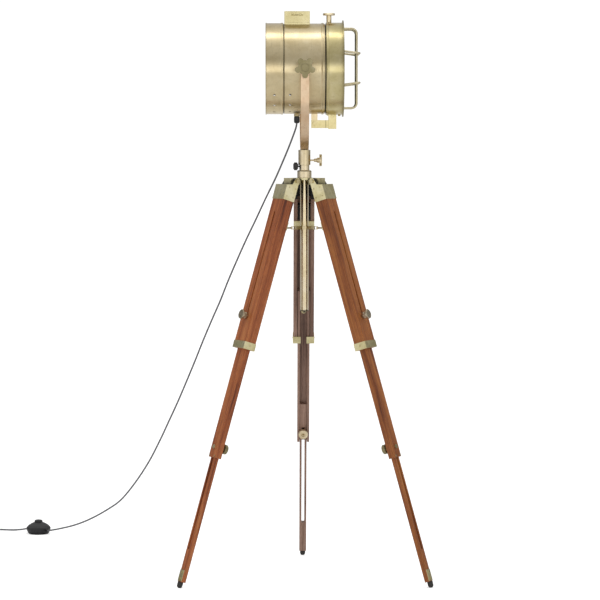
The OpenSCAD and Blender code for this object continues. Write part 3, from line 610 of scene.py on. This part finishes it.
# %% Head tree: the dome and its slot
head_tree, given = geometry_tree("heads_on_points", Radius="Float", Height="Float", Slot="Float",
                                 Seed="Int", Material="Material")
radius, height, slot = given["Radius"], given["Height"], given["Slot"]
ball = add(head_tree, "GeometryNodeMeshUVSphere", {"Segments": 24, "Rings": 12, "Radius": 1.0}).outputs[0]
shape = add(head_tree, "ShaderNodeCombineXYZ", {0: radius, 1: radius, 2: height}).outputs[0]
dome = add(head_tree, "GeometryNodeTransform", {"Geometry": ball, "Scale": shape}).outputs[0]
dome = add(head_tree, "GeometryNodeSetShadeSmooth", {"Geometry": dome}).outputs[0]
width = calc(head_tree, "MULTIPLY", radius, 3.0)
size = add(head_tree, "ShaderNodeCombineXYZ", {0: width, 1: slot, 2: height}).outputs[0]
bar = add(head_tree, "GeometryNodeMeshCube", {"Size": size}).outputs[0]
lift = add(head_tree, "ShaderNodeCombineXYZ", {2: height}).outputs[0]
bar = add(head_tree, "GeometryNodeTransform", {"Geometry": bar, "Translation": lift}).outputs[0]
slotted = add(head_tree, "GeometryNodeMeshBoolean", {"Mesh 1": dome, "Mesh 2": bar},
              operation="DIFFERENCE").outputs[0]
has_slot = add(head_tree, "FunctionNodeCompare", {0: slot, 1: 0.0}, data_type="FLOAT",
               operation="GREATER_THAN").outputs[0]
head = add(head_tree, "GeometryNodeSwitch", {"Switch": has_slot, "False": dome, "True": slotted},
           input_type="GEOMETRY").outputs[0]

# %% Head tree: the places and the turns
facing = add(head_tree, "GeometryNodeInputNamedAttribute", {"Name": "facing"},
             data_type="FLOAT_VECTOR").outputs[0]
turn = add(head_tree, "FunctionNodeAlignRotationToVector", {"Vector": facing}, axis="Z").outputs[0]
spin = add(head_tree, "FunctionNodeRandomValue", {"Seed": given["Seed"]}, data_type="FLOAT")
spin.inputs[3].default_value = math.pi
spin = add(head_tree, "FunctionNodeAxisAngleToRotation",
           {"Axis": (0, 0, 1), "Angle": spin.outputs[1]}).outputs[0]
turn = add(head_tree, "FunctionNodeRotateRotation", {"Rotation": turn, "Rotate By": spin},
           rotation_space="LOCAL").outputs[0]
heads = add(head_tree, "GeometryNodeInstanceOnPoints",
            {"Points": given["Geometry"], "Instance": head, "Rotation": turn}).outputs[0]
close_tree(head_tree, heads, given["Material"])
print("trees", [tree.name for tree in (tube_tree, head_tree)])

# %% [markdown]
# ## Nails and screws
# On either side of each leg, four nails hold the brass cap and one holds the band. Two slotted screws
# hold each foot plate.

# %% Nails in the caps and bands, screws in the foot plates
CAP_FACE = 0.0320  # from the middle of the leg to the side of its cap
PLATE_FACE = 0.0172  # from the middle of the leg to the outside of its foot plate
NAILS = ((0, 50), (22, 50), (20, 24), (0, 24), (11, 497))  # millimetres outward and down the leg
PLATE_SCREWS = (1189, 1170)  # millimetres down the leg
NAIL = {"Radius": 0.0024, "Height": 0.0012, "Slot": 0.0, "Material": nail_brass}
SCREW = {"Radius": 0.0039, "Height": 0.0026, "Slot": 0.0009, "Material": screw_steel}

for i in LEGS:
    leg = leg_matrix(i)
    leg_turn = leg.to_3x3()
    places, ways = [], []
    for side in (-1, 1):
        for out, down in NAILS:
            places.append(leg @ Vector((out / 1000, side * CAP_FACE, -down / 1000)))
            ways.append(leg_turn @ Vector((0, side, 0)))
    nails = grown(f"nails_{i}", head_tree, {**NAIL, "Seed": i}, places, facing=ways)
    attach(nails, f"leg_{i}")
    places = [leg @ Vector((PLATE_FACE, 0, -down / 1000)) for down in PLATE_SCREWS]
    screws = grown(f"foot_screws_{i}", head_tree, {**SCREW, "Seed": 10 + i}, places,
                   facing=[leg_turn @ Vector((1, 0, 0))] * 2)
    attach(screws, f"lower_{i}")
print("nails", 2 * len(NAILS) * len(LEGS), "screws", len(PLATE_SCREWS) * len(LEGS))

# %% [markdown]
# ## Guard
# Two upright wires and two level ones cross in front of the glass. Each is bent round two corners, and
# they lean in a little towards the middle as they stand off the ring.

# %% Guard wires
GUARD_FROM, GUARD_LEG, GUARD_BEND = 0.1131, 0.114, 0.015
GUARD_ROOT, GUARD_TIP = 0.0475, 0.042  # from the middle of the ring, at the ring and at the front
UPRIGHT_REACH, LEVEL_REACH = 0.1502, 0.1564
GUARD_WIRE_R = 0.00325


def guard_wire(side, reach, upright):
    """One wire from the ring, round two corners and back, on one side of the middle."""
    across = [(GUARD_FROM, -GUARD_LEG)]
    for s, angles in ((-1, range(0, 91, 9)), (1, range(90, -1, -9))):
        for a in angles:
            a = math.radians(a)
            across.append((reach - GUARD_BEND + GUARD_BEND * math.sin(a),
                           s * (GUARD_LEG - GUARD_BEND + GUARD_BEND * math.cos(a))))
    across.append((GUARD_FROM, GUARD_LEG))
    path = []
    for x, v in across:
        lean = side * (GUARD_ROOT + (GUARD_TIP - GUARD_ROOT) * (x - GUARD_FROM) / (reach - GUARD_FROM))
        path.append(on_axis(x, lean, HEAD_Z + v) if upright else on_axis(x, v, HEAD_Z + lean))
    return path


guard_paths = [guard_wire(side, UPRIGHT_REACH, True) for side in (-1, 1)]
guard_paths += [guard_wire(side, LEVEL_REACH, False) for side in (-1, 1)]
guard = tubes("guard_wires", guard_paths, GUARD_WIRE_R, wire_brass, 20)
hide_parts("guard")
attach(guard, "door")
print("guard faces", len(guard.data.polygons))

# %% [markdown]
# ## The lead
# One lead runs from the gland under the drum, down to the foot switch and on to its plug. It is made
# in three joined lengths, one to each joint that it crosses: the tilt, the pan and the rise of the
# column.

# %% Route of the lead, in millimetres from the column's axis
ROUTE_DOWN = [
    (-22, 0, 1324.2), (-26, 4, 1306.2), (-43, 23, 1260), (-61, 41, 1216), (-84, 66, 1163),
    (-114, 97, 1101), (-143, 129, 1038), (-172, 159, 977), (-199, 188, 916), (-225, 215, 855),
    (-249, 242, 794), (-276, 270, 732), (-302, 297, 670), (-327, 324, 607), (-353, 352, 544),
    (-380, 381, 480), (-409, 411, 416), (-439, 443, 351), (-474, 480, 282), (-518, 527, 212),
    (-566, 578, 150), (-612, 628, 112), (-668, 686, 75), (-722, 744, 47), (-778, 803, 26),
    (-818.5, 846.4, 13.5),
]
SWITCH = (-850, 880, 13.5)
ROUTE_OUT = [(-882, 913.1, 13.5), (-905, 927, 7), (-940, 943, 2.6), (-982, 953, 2.6), (-1015, 955, 2.6)]
ROUTE_PLUG = [(-1092, 893, 11), (-1092, 877, 7.2), (-1092, 863, 6.5)]

# The coil: its middle, the radii of its turns, and the heights of its layers
COIL = (-1062, 925)
COIL_RADII = (30.0, 25.0)
COIL_LEVELS = (2.6, 7.6, 12.6)
COIL_TURNS = 5


def smooth(points, steps):
    """A smooth curve through the points, steps pieces to each stretch."""
    p = [Vector(q) for q in points]
    out = []
    for i in range(len(p) - 1):
        a, b, c, d = p[max(i - 1, 0)], p[i], p[i + 1], p[min(i + 2, len(p) - 1)]
        for k in range(steps):
            t = k / steps
            out.append(0.5 * (2 * b + (c - a) * t + (2 * a - 5 * b + 4 * c - d) * t * t
                              + (3 * b - 3 * c + d - a) * t ** 3))
    out.append(p[-1])
    return out


def coil_turns():
    """Turns of the coil from where the lead comes in: out and in again, level by level."""
    order = []
    for level, height in enumerate(COIL_LEVELS):
        radii = COIL_RADII if level % 2 == 0 else COIL_RADII[::-1]
        order += [(radius, height) for radius in radii]
    order = order[:COIL_TURNS]
    steps, change, points = 28, 7, []  # points to a turn, and points in which it changes over
    radius, height = order[0]
    for n, (r1, z1) in enumerate(order):
        r0, z0 = radius, height
        count = steps + steps // 4 if n == len(order) - 1 else steps
        for k in range(count):
            t = min(1.0, k / change)
            t = t * t * (3 - 2 * t)
            radius, height = r0 + (r1 - r0) * t, z0 + (z1 - z0) * t
            angle = math.pi / 2 + 2 * math.pi * k / steps
            points.append((COIL[0] + radius * math.cos(angle), COIL[1] + radius * math.sin(angle), height))
    return points


def in_row(points):
    """Route points in millimetres from the column's axis, as points in the row frame in metres."""
    return [on_axis(x / 1000, y / 1000, z / 1000) for x, y, z in points]


def path_length(path):
    """The length of a path of points."""
    return sum((b - a).length for a, b in zip(path, path[1:]))


# %% Three lengths of lead
CORD_R = 0.0025
TILT_END, PAN_END = 18, 30  # points down the run where the head's and the yoke's lengths end

down = smooth(in_row(ROUTE_DOWN), 6)
tail = smooth(in_row(ROUTE_OUT + coil_turns() + ROUTE_PLUG), 3)
lead_head_path = down[:TILT_END + 1]
lead_yoke_path = down[TILT_END:PAN_END + 1]
lead_floor_path = down[PAN_END:] + in_row([SWITCH]) + tail

lead_head = tubes("lead_head", [lead_head_path], CORD_R, lead_sleeve)
lead_yoke = tubes("lead_yoke", [lead_yoke_path], CORD_R, lead_sleeve)
lead_floor = tubes("lead_floor", [lead_floor_path], CORD_R, lead_sleeve)
total = path_length(lead_head_path) + path_length(lead_yoke_path) + path_length(lead_floor_path)
print("lead", round(total, 3), "m")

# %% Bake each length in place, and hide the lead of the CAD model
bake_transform(lead_head)
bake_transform(lead_yoke)
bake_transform(lead_floor)
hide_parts("cord_tube")
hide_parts("cord_tube")
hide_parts("cord_tube", "cord_coil")

# %% [markdown]
# ## Studio
# A pale floor, a long soft light overhead, and a bright room around. The floor ends in front of the
# lamp, so that the brass also mirrors the room from below.

# %% Floor
FLOOR_SIDE, FLOOR_FRONT, FLOOR_BACK = 30, -9, 60

floor_mesh = bpy.data.meshes.new("studio_floor")
floor_mesh.from_pydata([(-FLOOR_SIDE, FLOOR_FRONT, 0), (FLOOR_SIDE, FLOOR_FRONT, 0),
                        (FLOOR_SIDE, FLOOR_BACK, 0), (-FLOOR_SIDE, FLOOR_BACK, 0)], [], [(0, 1, 2, 3)])
floor = bpy.data.objects.new("studio_floor", floor_mesh)
bpy.context.collection.objects.link(floor)
paper, tree, shader = start_material("studio_paper")
fibre = noise(tree, scaled(tree, object_coordinates(tree), (3, 3, 3)), 3.0, 0.6)
seen = add(tree, "ShaderNodeLightPath").outputs["Is Camera Ray"]
connect(tree, shader, Base_Color=ramp(tree, fibre, [(0.3, grey(0.9)), (0.7, grey(0.92))]), Roughness=0.9,
        Specular_IOR_Level=0.1, Emission_Color=grey(1.0), Emission_Strength=calc(tree, "MULTIPLY", seen, 0.5))
floor.data.materials.append(paper)


# %% Light
def soft_light(name, place, target, size, watts):
    """A rectangular light at a place, turned to a target."""
    data = bpy.data.lights.new(name, "AREA")
    data.shape = "RECTANGLE"
    data.size, data.size_y = size
    data.energy = watts
    obj = bpy.data.objects.new(name, data)
    bpy.context.collection.objects.link(obj)
    obj.location = place
    obj.rotation_euler = (Vector(target) - Vector(place)).to_track_quat("-Z", "Y").to_euler()
    return obj


overhead = soft_light("overhead", (0, -0.05, 4.6), (0, -0.1, 0), (3.4, 0.9), 11.5)
print("light", overhead.data.energy, "W")

# %% [markdown]
# ### The room
# Its brightness changes with height, from the horizon in front, over the top, to the horizon behind,
# and near eye level also from side to side. The camera sees plain white instead.

# %% Room
HEIGHTS = ((0, 1.85), (4, 1.5), (9, 0.95), (15, 0.62), (24, 0.5), (40, 0.53), (57, 0.6), (66, 0.7),
           (75, 0.88), (84, 1.2), (96, 1.25), (108, 1.0), (122, 0.73), (140, 0.6), (180, 0.8))
SIDES = ((-180, 0.6), (-130, 0.25), (-93, 0.25), (-75, 0.6), (-54, 0.85), (-37, 0.85), (-20, 0.75),
         (-5, 0.75), (11, 0.8), (27, 1.05), (43, 0.75), (57, 0.7), (75, 0.75), (100, 0.3), (133, 0.3),
         (180, 0.6))
ROOM_LEVEL, WHITE_LEVEL = 2.0, 1.05

world = bpy.data.worlds.new("surround")
world.use_nodes = True
bpy.context.scene.world = world
tree = world.node_tree
tree.nodes.clear()
parts = components(tree, add(tree, "ShaderNodeTexCoord").outputs["Generated"])
front = calc(tree, "MULTIPLY", parts["Y"], -1.0)
climb = calc(tree, "DIVIDE", calc(tree, "ARCTAN2", parts["Z"], front), math.pi)
room = ramp(tree, climb, [(angle / 180, grey(value)) for angle, value in HEIGHTS])
turn = remap(tree, calc(tree, "ARCTAN2", parts["X"], front), -math.pi, math.pi)
sides = ramp(tree, turn, [((angle + 180) / 360, grey(value / 2)) for angle, value in SIDES])
level = remap(tree, calc(tree, "ABSOLUTE", parts["Z"]), 0.15, 0.6, 1.0, 0.0)
room = mix(tree, 1.0, room, mix(tree, level, grey(0.5), sides), "MULTIPLY")
light = add(tree, "ShaderNodeBackground", {"Color": room, "Strength": ROOM_LEVEL})
white = add(tree, "ShaderNodeBackground", {"Color": grey(1.0), "Strength": WHITE_LEVEL})
is_camera = add(tree, "ShaderNodeLightPath").outputs["Is Camera Ray"]
both = add(tree, "ShaderNodeMixShader", {0: is_camera, 1: light.outputs[0], 2: white.outputs[0]})
add(tree, "ShaderNodeOutputWorld", {"Surface": both.outputs[0]})

bpy.context.scene.view_settings.view_transform = "Standard"
